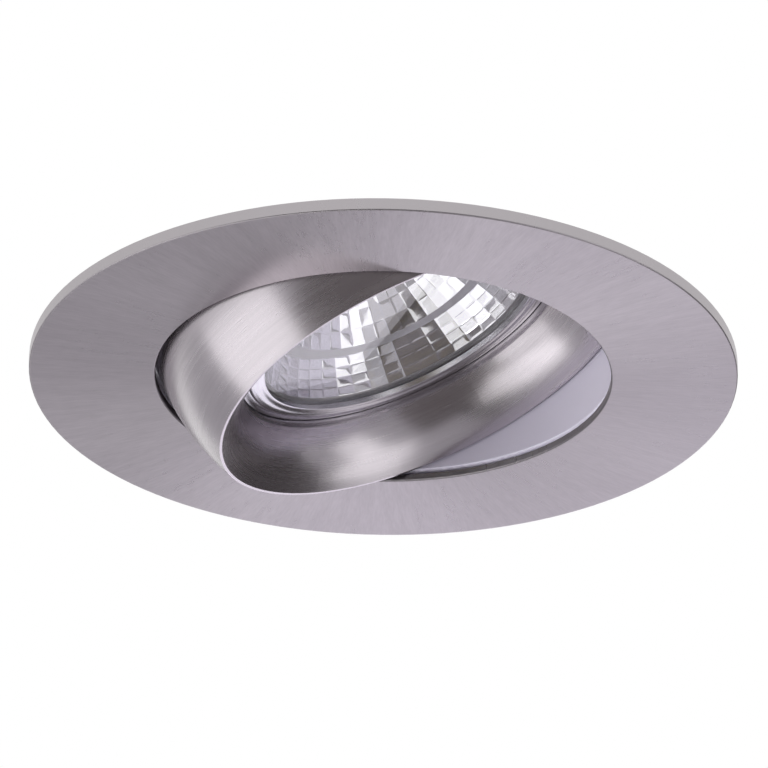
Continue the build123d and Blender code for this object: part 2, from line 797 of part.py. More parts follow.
def clip_pieces():
    """Every piece of one spring clip, on the +X side."""
    return {
        "clip_bracket": clip_bracket(),
        "clip_pin": clip_pin(),
        "clip_spring": clip_spring(),
        "clip_arm": clip_arm(),
        "clip_pad": clip_pad(),
    }


def placed(shape, place):
    """A piece, or a list of separate pieces as one group, moved to its place."""
    if isinstance(shape, list):
        return Compound(children=[place * piece for piece in shape])
    return place * shape


def all_pieces():
    """Every node of the light, by name, in the shared frame."""
    pieces = {
        "trim_ring": trim_ring(),
        "ceiling_gasket": ceiling_gasket(),
        "swivel_snap_ring": swivel_snap_ring(),
        "swivel_ring": swivel_ring(),
        "clip_screws": placed(clip_screws(), Location()),
    }
    for name, shape in head_pieces().items():
        pieces[name] = placed(shape, head_place)
    for name, shape in clip_pieces().items():
        pieces[name + "_right"] = shape
        pieces[name + "_left"] = Rotation(0, 0, 180) * shape
    return pieces


os.makedirs("parts", exist_ok=True)
for node, piece in all_pieces().items():
    export_step(piece, f"parts/{node}.step")
print(f"spring turns clear each other by {spring_self_gap():.3f} mm")
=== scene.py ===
import json
import math

import bpy
import numpy as np
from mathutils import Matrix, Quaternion, Vector


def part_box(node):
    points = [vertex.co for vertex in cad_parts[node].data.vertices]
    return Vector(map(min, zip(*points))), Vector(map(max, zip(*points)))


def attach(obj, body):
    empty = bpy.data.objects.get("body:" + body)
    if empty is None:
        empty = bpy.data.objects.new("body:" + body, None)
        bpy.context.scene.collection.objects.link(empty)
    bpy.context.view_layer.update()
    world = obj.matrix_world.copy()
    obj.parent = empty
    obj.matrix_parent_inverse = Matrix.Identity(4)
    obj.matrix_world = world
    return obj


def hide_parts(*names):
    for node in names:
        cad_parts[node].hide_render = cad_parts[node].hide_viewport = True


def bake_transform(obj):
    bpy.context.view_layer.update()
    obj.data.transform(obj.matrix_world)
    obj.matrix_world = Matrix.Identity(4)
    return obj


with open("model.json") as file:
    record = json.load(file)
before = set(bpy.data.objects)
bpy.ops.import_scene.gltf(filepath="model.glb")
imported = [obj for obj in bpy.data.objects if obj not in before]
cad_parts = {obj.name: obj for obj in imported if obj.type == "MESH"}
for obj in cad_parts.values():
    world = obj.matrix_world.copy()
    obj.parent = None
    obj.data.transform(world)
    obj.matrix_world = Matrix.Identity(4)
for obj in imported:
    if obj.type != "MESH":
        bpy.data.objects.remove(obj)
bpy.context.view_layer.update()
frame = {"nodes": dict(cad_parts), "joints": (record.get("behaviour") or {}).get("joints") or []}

bl_info = {
    "name": "Recessed Ceiling Spotlight",
    "version": (1, 0, 0),
    "blender": (4, 5, 0),
    "location": "3D View > Sidebar > Spotlight",
    "description": "Finishes, faceted reflector, clip springs and studio for a tilting recessed light",
    "category": "Object",
}

# Everything is in metres, in the frame's own axes: the ceiling plane is z = 0 and +z is up.
MM = 0.001
# Keeps the part of a place that lies across an axis along z.
ACROSS = (1.0, 1.0, 0.0)
nodes = frame["nodes"]
joints = {joint["name"]: joint for joint in frame["joints"]}
pivot = np.array(joints["head_tilt"]["pos_m"])


def node_points(name):
    """Corner points of a CAD node as an array with one row for each."""
    points = np.empty(len(nodes[name].data.vertices) * 3)
    nodes[name].data.vertices.foreach_get("co", points)
    return points.reshape(-1, 3)


def head_axis():
    """Unit direction up the head's own axis: the thin direction of the flat lens."""
    points = node_points("lens")
    axis = np.linalg.svd(points - points.mean(0), full_matrices=False)[2][-1]
    return axis * np.sign(axis[2])


head_up = head_axis()
head_side = np.cross((0.0, 1.0, 0.0), head_up)
head_turn = math.atan2(head_up[0], head_up[2])


def head_span(name):
    """Lowest and highest place of a CAD node along the head's axis, from the pivot."""
    along = (node_points(name) - pivot) @ head_up
    return along.min(), along.max()


def from_head(radius, angle, height):
    """Points at a radius, an angle about the head's axis and a height along it from the pivot.

    The point is pivot + radius (cos a side + sin a y) + height up.
    """
    across = radius * np.cos(angle)
    deep = radius * np.sin(angle)
    points = across[..., None] * head_side + height[..., None] * head_up + pivot
    points[..., 1] += deep
    return points


class SpotlightFinish(bpy.types.PropertyGroup):
    """Colours and roughness of the finishes."""

    nickel: bpy.props.FloatVectorProperty(
        name="Nickel", description="Colour of the brushed trim and head", subtype="COLOR",
        size=3, min=0, max=1, default=(0.606, 0.569, 0.592))
    trim_roughness: bpy.props.FloatProperty(
        name="Trim Roughness", description="Mean roughness of the trim's brushed face",
        subtype="FACTOR", min=0, max=1, default=0.29)
    head_roughness: bpy.props.FloatProperty(
        name="Head Roughness", description="Mean roughness of the turned head",
        subtype="FACTOR", min=0, max=1, default=0.27)
    brush_depth: bpy.props.FloatProperty(
        name="Brush Depth", description="Height of the brush lines", unit="LENGTH",
        min=0, max=0.0001, default=0.000004)
    # Width of the painted shade on the trim's outer rim and on the wall of its opening.
    edge_width: bpy.props.FloatProperty(
        name="Edge Width", description="Width of the duller edges of the trim", unit="LENGTH",
        min=0, max=0.001, default=0.15 * MM)
    socket: bpy.props.FloatVectorProperty(
        name="Socket", description="Colour of the pale socket ring", subtype="COLOR",
        size=3, min=0, max=1, default=(0.84, 0.81, 0.92))
    chrome: bpy.props.FloatVectorProperty(
        name="Chrome", description="Colour of the lens ring", subtype="COLOR",
        size=3, min=0, max=1, default=(0.76, 0.75, 0.78))
    mirror: bpy.props.FloatVectorProperty(
        name="Mirror", description="Colour of the reflector's coating", subtype="COLOR",
        size=3, min=0, max=1, default=(0.90, 0.90, 0.92))
    step: bpy.props.FloatVectorProperty(
        name="Step", description="Colour of the satin ring between the reflector's tiers",
        subtype="COLOR", size=3, min=0, max=1, default=(0.95, 0.93, 0.98))
    glass: bpy.props.FloatVectorProperty(
        name="Glass", description="Tint of the lens", subtype="COLOR",
        size=3, min=0, max=1, default=(0.985, 0.985, 0.985))
    steel: bpy.props.FloatVectorProperty(
        name="Steel", description="Colour of the zinc plated clips", subtype="COLOR",
        size=3, min=0, max=1, default=(0.60, 0.60, 0.59))
    aluminium: bpy.props.FloatVectorProperty(
        name="Aluminium", description="Colour of the heat sink", subtype="COLOR",
        size=3, min=0, max=1, default=(0.50, 0.50, 0.51))


class SpotlightReflector(bpy.types.PropertyGroup):
    """Sizes of the faceted reflector."""

    columns: bpy.props.IntProperty(
        name="Columns", description="Facets in one row", min=8, max=90, default=48)
    rows: bpy.props.IntProperty(
        name="Rows", description="Rows of facets in one tier", min=1, max=12, default=4)
    cushion: bpy.props.FloatProperty(
        name="Cushion", description="How far the middle of a facet stands proud", unit="LENGTH",
        min=0, max=0.001, default=0.02 * MM)
    mouth_radius: bpy.props.FloatProperty(
        name="Mouth Radius", description="Inner radius at the lens", unit="LENGTH",
        min=0.001, max=0.1, default=18.5 * MM)
    step_radius: bpy.props.FloatProperty(
        name="Step Radius", description="Outer radius of the ring between the tiers", unit="LENGTH",
        min=0.001, max=0.1, default=15.75 * MM)
    step_width: bpy.props.FloatProperty(
        name="Step Width", description="Width of the ring between the tiers", unit="LENGTH",
        min=0, max=0.01, default=2.1 * MM)
    neck_radius: bpy.props.FloatProperty(
        name="Neck Radius", description="Inner radius at the light source", unit="LENGTH",
        min=0.001, max=0.1, default=7.0 * MM)
    step_depth: bpy.props.FloatProperty(
        name="Step Depth", description="From the mouth back to the step", unit="LENGTH",
        min=0.0001, max=0.1, default=4.2 * MM)
    wall: bpy.props.FloatProperty(
        name="Wall", description="Thickness of the cup", unit="LENGTH",
        min=0.0001, max=0.01, default=0.8 * MM)
    rim: bpy.props.FloatProperty(
        name="Rim", description="Thickness at the mouth", unit="LENGTH",
        min=0.0001, max=0.01, default=0.6 * MM)
    flange_width: bpy.props.FloatProperty(
        name="Flange Width", description="Flange outside the rim", unit="LENGTH",
        min=0, max=0.01, default=2.1 * MM)
    flange_back: bpy.props.FloatProperty(
        name="Flange Place", description="From the mouth back to the flange", unit="LENGTH",
        min=0, max=0.01, default=1.6 * MM)


class SpotlightSpring(bpy.types.PropertyGroup):
    """Sizes of the clip springs."""

    wire: bpy.props.FloatProperty(
        name="Wire", description="Diameter of the wire", unit="LENGTH",
        min=0.0001, max=0.01, default=0.7 * MM)
    coil_radius: bpy.props.FloatProperty(
        name="Coil Radius", description="Radius to the middle of the wire", unit="LENGTH",
        min=0.0005, max=0.05, default=1.85 * MM)
    pitch: bpy.props.FloatProperty(
        name="Pitch", description="Rise of the coil in one turn", unit="LENGTH",
        min=0.0001, max=0.01, default=1.25 * MM)
    whole_turns: bpy.props.IntProperty(
        name="Whole Turns", description="Full turns of the coil", min=1, max=20, default=4)
    arm_drop: bpy.props.FloatProperty(
        name="Arm Drop", description="Angle of the resting clip arm below level", subtype="ANGLE",
        unit="ROTATION", min=0, max=math.pi / 2, default=math.radians(36))
    moving_leg: bpy.props.FloatProperty(
        name="Moving Leg", description="Length of the leg along the clip arm", unit="LENGTH",
        min=0.0005, max=0.05, default=8.0 * MM)
    fixed_leg: bpy.props.FloatProperty(
        name="Fixed Leg", description="Length of the leg behind the bracket's tab", unit="LENGTH",
        min=0.0005, max=0.05, default=3.0 * MM)


class SpotlightStage(bpy.types.PropertyGroup):
    """Camera, lamps and room."""

    distance: bpy.props.FloatProperty(
        name="Camera Distance", description="From the middle of the trim's face", unit="LENGTH",
        min=0.1, max=20, default=1.0)
    elevation: bpy.props.FloatProperty(
        name="Camera Elevation", description="Height of the camera over level", subtype="ANGLE",
        unit="ROTATION", min=-math.pi / 2, max=math.pi / 2, default=math.radians(-27.297))
    azimuth: bpy.props.FloatProperty(
        name="Camera Azimuth", description="Camera's turn about the light's axis", subtype="ANGLE",
        unit="ROTATION", min=-math.pi, max=math.pi, default=math.radians(-2.8))
    roll: bpy.props.FloatProperty(
        name="Camera Roll", description="Turn of the picture", subtype="ANGLE",
        unit="ROTATION", min=-math.pi, max=math.pi, default=math.radians(-0.838))
    focal_length: bpy.props.FloatProperty(
        name="Focal Length", description="Lens on a 36 mm sensor, in millimetres",
        min=10, max=2000, default=369.1)
    shift: bpy.props.FloatVectorProperty(
        name="Camera Shift", description="Shift of the picture, as a share of its width",
        size=2, default=(0.0011, -0.0063))
    room_light: bpy.props.FloatProperty(
        name="Room Light", description="Level of the even light of the room",
        min=0, max=2, default=0.5)
    floor_depth: bpy.props.FloatProperty(
        name="Floor", description="Floor below the ceiling", unit="LENGTH",
        min=1, max=10, default=3.6)
    floor_colour: bpy.props.FloatVectorProperty(
        name="Floor Colour", description="Colour of the plain floor", subtype="COLOR",
        size=3, min=0, max=1, default=(0.80, 0.775, 0.83))


class Sheet:
    """A node tree with short calls to add nodes and to join their sockets."""

    def __init__(self, tree):
        self.tree = tree

    def add(self, kind, inputs=None, **settings):
        """Adds a node, makes its settings, and gives each named input a value or a link."""
        node = self.tree.nodes.new(kind)
        for key, value in settings.items():
            setattr(node, key, value)
        for key, value in (inputs or {}).items():
            self.join(value, node.inputs[key])
        return node

    def join(self, value, socket):
        """Links another socket, or sets a plain value."""
        if isinstance(value, bpy.types.NodeSocket):
            self.tree.links.new(value, socket)
        else:
            socket.default_value = value

    def math(self, operation, first, second=0.0):
        """One number worked out from two."""
        return self.add("ShaderNodeMath", {0: first, 1: second}, operation=operation).outputs[0]

    def vector(self, operation, first, second=(0.0, 0.0, 0.0)):
        """One vector worked out from two."""
        inputs = {0: first, 1: second}
        return self.add("ShaderNodeVectorMath", inputs, operation=operation).outputs[0]

    def length(self, vector):
        """Length of a vector."""
        return self.add("ShaderNodeVectorMath", {0: vector}, operation="LENGTH").outputs["Value"]

    def span(self, value, low, high):
        """A value from 0 to 1 carried to the span from low to high."""
        inputs = {"Value": value, "To Min": low, "To Max": high}
        return self.add("ShaderNodeMapRange", inputs).outputs[0]

    def blend(self, factor, first, second):
        """A colour between two colours, by the sockets of the mix node that hold colours."""
        inputs = {0: factor, 6: first, 7: second}
        return self.add("ShaderNodeMix", inputs, data_type="RGBA").outputs[2]

    def noise(self, coordinates, scale, detail=2.0, distortion=0.0):
        """Soft noise from 0 to 1."""
        inputs = {"Vector": coordinates, "Scale": scale, "Detail": detail, "Distortion": distortion}
        return self.add("ShaderNodeTexNoise", inputs).outputs[0]

    def group(self, tree, inputs):
        """Places a shared group with its own values and gives back its outputs."""
        return self.add("ShaderNodeGroup", inputs, node_tree=tree).outputs


def rgba(colour, factor=1.0):
    """A colour with full alpha, made lighter or darker by a factor."""
    return (*(min(1.0, part * factor) for part in colour), 1.0)


def shared_group(name, inputs, outputs):
    """A new shader group with named sockets, and its inner input and output nodes."""
    tree = bpy.data.node_groups.new(name, "ShaderNodeTree")
    for key, kind in inputs.items():
        tree.interface.new_socket(key, in_out="INPUT", socket_type=kind)
    for key in outputs:
        tree.interface.new_socket(key, in_out="OUTPUT", socket_type="NodeSocketFloat")
    sheet = Sheet(tree)
    return tree, sheet, sheet.add("NodeGroupInput").outputs, sheet.add("NodeGroupOutput").inputs


def brush_lines_group():
    """Brush lines: fine noise on stretched coordinates, with slower bands and worn patches."""
    sockets = {"Coordinates": "NodeSocketVector", "Place": "NodeSocketVector",
               "Fineness": "NodeSocketFloat"}
    tree, sheet, given, result = shared_group("brush lines", sockets, ("Lines", "Bands", "Patches"))
    band_share = 0.22
    patch_fineness = 55.0
    slower = sheet.math("MULTIPLY", given["Fineness"], band_share)
    fine = sheet.noise(given["Coordinates"], given["Fineness"], detail=3.0)
    slow = sheet.noise(given["Coordinates"], slower, detail=2.0)
    patches = sheet.noise(given["Place"], patch_fineness, detail=3.0, distortion=0.4)
    sheet.join(fine, result["Lines"])
    sheet.join(slow, result["Bands"])
    sheet.join(patches, result["Patches"])
    return tree


def grain_group():
    """Grain: fine noise for a surface's tooth, and broad noise for uneven colour and handling."""
    sockets = {"Place": "NodeSocketVector", "Fineness": "NodeSocketFloat"}
    tree, sheet, given, result = shared_group("grain", sockets, ("Tooth", "Clouds"))
    cloud_share = 0.06
    broader = sheet.math("MULTIPLY", given["Fineness"], cloud_share)
    sheet.join(sheet.noise(given["Place"], given["Fineness"], detail=4.0), result["Tooth"])
    sheet.join(sheet.noise(given["Place"], broader, detail=3.0), result["Clouds"])
    return tree


def cells_group():
    """Cells: rounded cells of a foam or of a crystalline plating, with a shade for each."""
    sockets = {"Place": "NodeSocketVector", "Fineness": "NodeSocketFloat"}
    tree, sheet, given, result = shared_group("cells", sockets, ("Distance", "Shade"))
    cells = sheet.add("ShaderNodeTexVoronoi", {"Vector": given["Place"], "Scale": given["Fineness"]})
    shade = sheet.add("ShaderNodeSeparateColor", {"Color": cells.outputs["Color"]})
    sheet.join(cells.outputs["Distance"], result["Distance"])
    sheet.join(shade.outputs[0], result["Shade"])
    return tree


groups = {}


def group_tree(maker):
    """A shared group, made when it is first asked for."""
    if maker.__name__ not in groups:
        groups[maker.__name__] = maker()
    return groups[maker.__name__]


def new_material(name, **constants):
    """A material with a Principled shader whose plain values are set on its own sockets."""
    material = bpy.data.materials.new(name)
    material.use_nodes = True
    sheet = Sheet(material.node_tree)
    shader = material.node_tree.nodes["Principled BSDF"]
    for key, value in constants.items():
        shader.inputs[key.replace("_", " ")].default_value = value
    return material, sheet, shader.inputs


def object_place(sheet):
    """Object coordinates."""
    return sheet.add("ShaderNodeTexCoord").outputs["Object"]


def head_place(sheet):
    """Object coordinates about the head's own axis, with the pivot at zero."""
    inputs = {"Vector": object_place(sheet), "Location": tuple(pivot),
              "Rotation": (0.0, head_turn, 0.0)}
    return sheet.add("ShaderNodeMapping", inputs, vector_type="TEXTURE").outputs[0]


def bump(sheet, height, depth, **under):
    """Normal of a surface that a height lifts by its share of a depth, over any bump under it."""
    inputs = {"Height": height, "Distance": depth, "Strength": 1.0, **under}
    return sheet.add("ShaderNodeBump", inputs).outputs[0]


def to_world(sheet, direction):
    """A direction in the piece's own axes, carried to the world's."""
    settings = {"vector_type": "VECTOR", "convert_from": "OBJECT", "convert_to": "WORLD"}
    return sheet.add("ShaderNodeVectorTransform", {0: direction}, **settings).outputs[0]


def nickel_looks(sheet, shader, colour, roughness, lines, depth):
    """Roughness and height of the brushed nickel from its brush lines; gives back its colour."""
    line_share = 0.55
    line_roughness = 0.02
    patch_roughness = 0.03
    shade = sheet.math("ADD", sheet.math("MULTIPLY", lines["Lines"], line_share),
                       sheet.math("MULTIPLY", lines["Bands"], 1 - line_share))
    stretched = {"Value": shade, "From Min": 0.3, "From Max": 0.7}
    shade = sheet.add("ShaderNodeMapRange", stretched).outputs[0]
    rough = sheet.span(shade, roughness - line_roughness, roughness + line_roughness)
    worn = sheet.span(lines["Patches"], -patch_roughness, patch_roughness)
    sheet.join(sheet.math("ADD", rough, worn), shader["Roughness"])
    sheet.join(bump(sheet, shade, depth), shader["Normal"])
    dark = rgba(colour, 0.90)
    light = rgba(colour, 1.07)
    return sheet.blend(shade, dark, light)


def trim_nickel(finish):
    """Brushed nickel with lines that run outwards from the axis, and painted shade on its cut edges.

    The lines are noise on the unit direction from the axis, stretched along the radius.
    The painted shade lies where the radius is near the opening's or the rim's: a darker rim stands in
    for the shaded ceiling beside it, a much darker bore for the shadow in the gap behind the opening.
    """
    material, sheet, shader = new_material("trim brushed nickel", Metallic=1.0, Anisotropic=0.9)
    place = object_place(sheet)
    flat = sheet.vector("MULTIPLY", place, ACROSS)
    way = sheet.vector("NORMALIZE", flat)
    slow_change = (4.0, 4.0, 4.0)
    along = sheet.vector("MULTIPLY", place, slow_change)
    lines = sheet.group(group_tree(brush_lines_group), {
        "Coordinates": sheet.vector("ADD", way, along), "Place": place, "Fineness": 130.0})
    brushed = nickel_looks(sheet, shader, finish.nickel, finish.trim_roughness, lines,
                           finish.brush_depth)
    reach = np.linalg.norm(node_points("trim_ring")[:, :2], axis=1)
    radius = sheet.length(flat)
    rim = sheet.math("GREATER_THAN", radius, reach.max() - finish.edge_width)
    bore = sheet.math("LESS_THAN", radius, reach.min() + finish.edge_width)
    # Painted shade: the rim is darkened a little for the shaded ceiling beside it, the bore's wall much
    # more for the shadow in the gap behind it.
    rim_painted_shade = rgba(finish.nickel, 0.72)
    bore_painted_shade = rgba(finish.nickel, 0.45)
    shade_painted = sheet.blend(rim, brushed, rim_painted_shade)
    sheet.join(sheet.blend(bore, shade_painted, bore_painted_shade), shader["Base Color"])
    round_way = sheet.vector("CROSS_PRODUCT", (0.0, 0.0, 1.0), way)
    sheet.join(to_world(sheet, round_way), shader["Tangent"])
    return material


def head_nickel(finish):
    """Brushed nickel with lines that run round the head's axis, as from a lathe.

    The lines are noise on the height and radius, stretched round the axis.
    """
    material, sheet, shader = new_material("head brushed nickel", Metallic=1.0, Anisotropic=0.5)
    place = head_place(sheet)
    flat = sheet.vector("MULTIPLY", place, ACROSS)
    way = sheet.vector("NORMALIZE", flat)
    radius = sheet.length(flat)
    height = sheet.add("ShaderNodeSeparateXYZ", {0: place}).outputs[2]
    line_density = 30.0
    slow_change = (0.02, 0.02, 0.0)
    level = sheet.math("SUBTRACT", sheet.math("MULTIPLY", radius, line_density),
                       sheet.math("MULTIPLY", height, line_density))
    stacked = sheet.add("ShaderNodeCombineXYZ", {"Z": level}).outputs[0]
    slow_way = sheet.vector("MULTIPLY", way, slow_change)
    lines = sheet.group(group_tree(brush_lines_group), {
        "Coordinates": sheet.vector("ADD", stacked, slow_way), "Place": place, "Fineness": 110.0})
    brushed = nickel_looks(sheet, shader, finish.nickel, finish.head_roughness, lines,
                           finish.brush_depth / 2)
    sheet.join(brushed, shader["Base Color"])
    centred = sheet.vector("SUBTRACT", object_place(sheet), tuple(pivot))
    round_way = to_world(sheet, sheet.vector("CROSS_PRODUCT", tuple(head_up), centred))
    facing = sheet.add("ShaderNodeNewGeometry").outputs["Normal"]
    sheet.join(sheet.vector("CROSS_PRODUCT", facing, round_way), shader["Tangent"])
    return material


def placed_grain(sheet, fineness):
    """The shared grain on the piece's own coordinates."""
    return sheet.group(group_tree(grain_group), {"Place": object_place(sheet), "Fineness": fineness})


def shaded(sheet, shader, factor, colour, dark, light):
    """Colours the shader from a darker to a lighter shade of a colour, by a factor from 0 to 1."""
    mixed = sheet.blend(factor, rgba(colour, dark), rgba(colour, light))
    sheet.join(mixed, shader["Base Color"])


def uneven(sheet, clouds, roughness, spread):
    """A roughness that clouds vary by a share either way."""
    return sheet.span(clouds, roughness * (1 - spread), roughness * (1 + spread))


def plated_metal(name, colour, roughness, fineness, depth, unevenness=0.08):
    """Plain plated or cast metal: a tooth, and clouds in its colour and roughness."""
    material, sheet, shader = new_material(name, Metallic=1.0)
    grain = placed_grain(sheet, fineness)
    shaded(sheet, shader, grain["Clouds"], colour, dark=1.0 - unevenness, light=1.0 + unevenness)
    sheet.join(uneven(sheet, grain["Clouds"], roughness, spread=0.2), shader["Roughness"])
    sheet.join(bump(sheet, grain["Tooth"], depth), shader["Normal"])
    return material


def turned_metal(name, colour, roughness, fineness, depth, pitch, groove):
    """Plated metal with shallow grooves from the lathe.

    Their height is groove sin(2 pi r / pitch) / 2, where r is the distance from the head's axis.
    """
    material = plated_metal(name, colour, roughness, fineness, depth)
    sheet = Sheet(material.node_tree)
    normal = material.node_tree.nodes["Principled BSDF"].inputs["Normal"]
    radius = sheet.length(sheet.vector("MULTIPLY", head_place(sheet), ACROSS))
    wave = sheet.math("SINE", sheet.math("MULTIPLY", radius, 2 * math.pi / pitch))
    height = sheet.math("MULTIPLY", wave, 0.5)
    sheet.join(bump(sheet, height, groove, Normal=normal.links[0].from_socket), normal)
    return material


def zinc_steel(colour):
    """Zinc plated sheet: crystals that differ a little in shade and gloss, over rolling lines."""
    material, sheet, shader = new_material("zinc plated steel", Metallic=1.0)
    place = object_place(sheet)
    cells = sheet.group(group_tree(cells_group), {"Place": place, "Fineness": 900.0})
    rolling_way = (1.0, 30.0, 1.0)
    rolled = sheet.noise(sheet.vector("MULTIPLY", place, rolling_way), scale=260.0, detail=2.0)
    shaded(sheet, shader, cells["Shade"], colour, dark=0.86, light=1.08)
    crystal_roughness = sheet.span(cells["Shade"], low=0.26, high=0.38)
    rolled_roughness = sheet.span(rolled, low=-0.04, high=0.04)
    sheet.join(sheet.math("ADD", crystal_roughness, rolled_roughness), shader["Roughness"])
    line_depth = 0.004 * MM
    sheet.join(bump(sheet, rolled, line_depth), shader["Normal"])
    return material


def moulded(name, colour, roughness, fineness, depth):
    """Moulded plastic, rubber or gel: a fine tooth and slightly uneven colour."""
    material, sheet, shader = new_material(name)
    grain = placed_grain(sheet, fineness)
    shaded(sheet, shader, grain["Clouds"], colour, dark=0.95, light=1.04)
    sheet.join(uneven(sheet, grain["Clouds"], roughness, spread=0.15), shader["Roughness"])
    sheet.join(bump(sheet, grain["Tooth"], depth), shader["Normal"])
    return material


def foam(name, colour):
    """Closed cell foam: open pores of uneven depth in a dull skin, with painted shade in the pores."""
    material, sheet, shader = new_material(name, Roughness=0.95)
    cells = sheet.group(group_tree(cells_group), {"Place": object_place(sheet), "Fineness": 1900.0})
    pore_depth = 0.15 * MM
    # The colour darkens with the pores' depth: painted shade in the pores.
    shaded(sheet, shader, cells["Distance"], colour, dark=0.55, light=1.25)
    sheet.join(bump(sheet, cells["Distance"], pore_depth), shader["Normal"])
    return material


def mirror_coating(colour):
    """Vapour coated mirror: nearly smooth, with a faint orange peel and a little haze."""
    material, sheet, shader = new_material("mirror coating", Metallic=1.0)
    grain = placed_grain(sheet, fineness=900.0)
    haze = sheet.span(grain["Clouds"], low=0.02, high=0.07)
    peel_depth = 0.004 * MM
    shaded(sheet, shader, grain["Clouds"], colour, dark=0.97, light=1.02)
    sheet.join(haze, shader["Roughness"])
    sheet.join(bump(sheet, grain["Clouds"], peel_depth), shader["Normal"])
    return material


def lens_glass(colour):
    """Clear flat glass with the faintest haze of handling."""
    material, sheet, shader = new_material("lens glass", Transmission_Weight=1.0, IOR=1.5,
                                           Base_Color=rgba(colour))
    grain = placed_grain(sheet, fineness=700.0)
    haze = sheet.span(grain["Clouds"], low=0.0, high=0.02)
    sheet.join(haze, shader["Roughness"])
    return material


def dress(material, *names):
    """Gives CAD nodes a material in place of the one they came with."""
    for name in names:
        nodes[name].data.materials.clear()
        nodes[name].data.materials.append(material)


def both(name):
    """The left and the right node of a clip piece."""
    return name + "_left", name + "_right"


def grid_faces(rows, columns, wrap_rows, wrap_columns):
    """Quads over a grid of points numbered row by row."""
    row = np.arange(rows if wrap_rows else rows - 1)[:, None]
    column = np.arange(columns if wrap_columns else columns - 1)[None, :]
    next_row = (row + 1) % rows
    next_column = (column + 1) % columns
    corners = (row * columns + column, next_row * columns + column,
               next_row * columns + next_column, row * columns + next_column)
    return np.stack(corners, -1).reshape(-1, 4)


def new_piece(name, points, faces, material):
    """A piece at the origin from points and faces, shaded smooth."""
    mesh = bpy.data.meshes.new(name)
    mesh.from_pydata(points.reshape(-1, 3).tolist(), [], faces)
    mesh.polygons.foreach_set("use_smooth", np.ones(len(mesh.polygons), bool))
    mesh.materials.append(material)
    if mesh.validate():
        raise RuntimeError(f"the mesh of {name} had faults")
    piece = bpy.data.objects.new(name, mesh)
    bpy.context.scene.collection.objects.link(piece)
    return piece


def faceted_tier(mouth, far, front, back, columns, rows, cushion, facet_points):
    """Radius, angle and height over one tier of cushioned facets.

    Corner rows lie on radius = mouth + (far - mouth)(0.75 s + 0.25 s s), at height
    front + (back - front) s. A facet's middle is nearly flat and its borders are rounded: it stands
    in by cushion (1 - x^6)(1 - y^6), where x and y run from -1 to 1 across it. A facet has
    facet_points steps each way, which crowd towards its borders by the cosine of even steps.
    """
    straight_share = 0.75
    bowed_share = 0.25
    flatness = 6
    crowded = (1 - np.cos(np.linspace(0, math.pi, facet_points, endpoint=False))) / 2
    u = (np.arange(columns)[:, None] + crowded).ravel()
    v = np.append((np.arange(rows)[:, None] + crowded).ravel(), rows)
    sector = 2 * math.pi / columns
    row = np.minimum(np.floor(v), rows - 1)
    inside = v - row
    low = row / rows
    high = (row + 1) / rows
    low_radius = mouth + (far - mouth) * (straight_share * low + bowed_share * low**2)
    high_radius = mouth + (far - mouth) * (straight_share * high + bowed_share * high**2)
    corner_radius = low_radius + (high_radius - low_radius) * inside
    height = front + (back - front) * (low + (high - low) * inside)
    share = u - np.floor(u)
    x = 2 * share - 1
    y = 2 * inside - 1
    off_middle = np.arctan(np.tan(sector / 2) * x)
    chord = np.cos(sector / 2) / np.cos(off_middle)
    angle = (np.floor(u) + 0.5) * sector + off_middle
    swell = (1 - x**flatness)[:, None] * (1 - y**flatness)[None, :]
    radius = chord[:, None] * corner_radius[None, :] - cushion * swell
    spread = np.zeros_like(radius)
    return radius, angle[:, None] + spread, height[None, :] + spread


def build_reflector(sizes, material, step_material):
    """Two tiers of cushioned facets with a step ring, and the plain wall, flange and rim outside.

    The section is carried round the axis as one closed loop, so the piece is one closed skin.
    """
    mouth_z, neck_z = head_span("reflector")
    step_z = mouth_z + sizes.step_depth
    facet_points = 10
    second_mouth = sizes.step_radius - sizes.step_width
    first = faceted_tier(sizes.mouth_radius, sizes.step_radius, mouth_z, step_z,
                         sizes.columns, sizes.rows, sizes.cushion, facet_points)
    second = faceted_tier(second_mouth, sizes.neck_radius, step_z, neck_z,
                          sizes.columns, sizes.rows, sizes.cushion, facet_points)
    rim_radius = sizes.mouth_radius + sizes.rim
    flange_radius = rim_radius + sizes.flange_width
    flange_z = mouth_z + sizes.flange_back
    outside = np.array([
        (sizes.neck_radius + sizes.wall, neck_z),
        (sizes.step_radius + sizes.wall, step_z),
        (flange_radius, flange_z + sizes.wall),
        (flange_radius, flange_z),
        (rim_radius, flange_z),
        (rim_radius, mouth_z),
    ])
    around = sizes.columns * facet_points
    wall_angle = first[1][:, :1] + np.zeros(len(outside))
    wall_radius = np.zeros((around, 1)) + outside[:, 0]
    wall_height = np.zeros((around, 1)) + outside[:, 1]
    radius = np.concatenate((first[0], second[0], wall_radius), 1)
    angle = np.concatenate((first[1], second[1], wall_angle), 1)
    height = np.concatenate((first[2], second[2], wall_height), 1)
    points = from_head(radius, angle, height)
    along = radius.shape[1]
    faces = grid_faces(around, along, True, True)[:, ::-1]
    piece = new_piece("reflector_facets", points, faces, material)
    tier_length = sizes.rows * facet_points + 1
    sharpen_facets(piece.data, along, facet_points, 2 * tier_length)
    piece.data.materials.append(step_material)
    slots = np.zeros((around, along), np.int32)
    slots[:, (tier_length - 1, along - 1)] = 1
    piece.data.polygons.foreach_set("material_index", slots.ravel())
    return piece


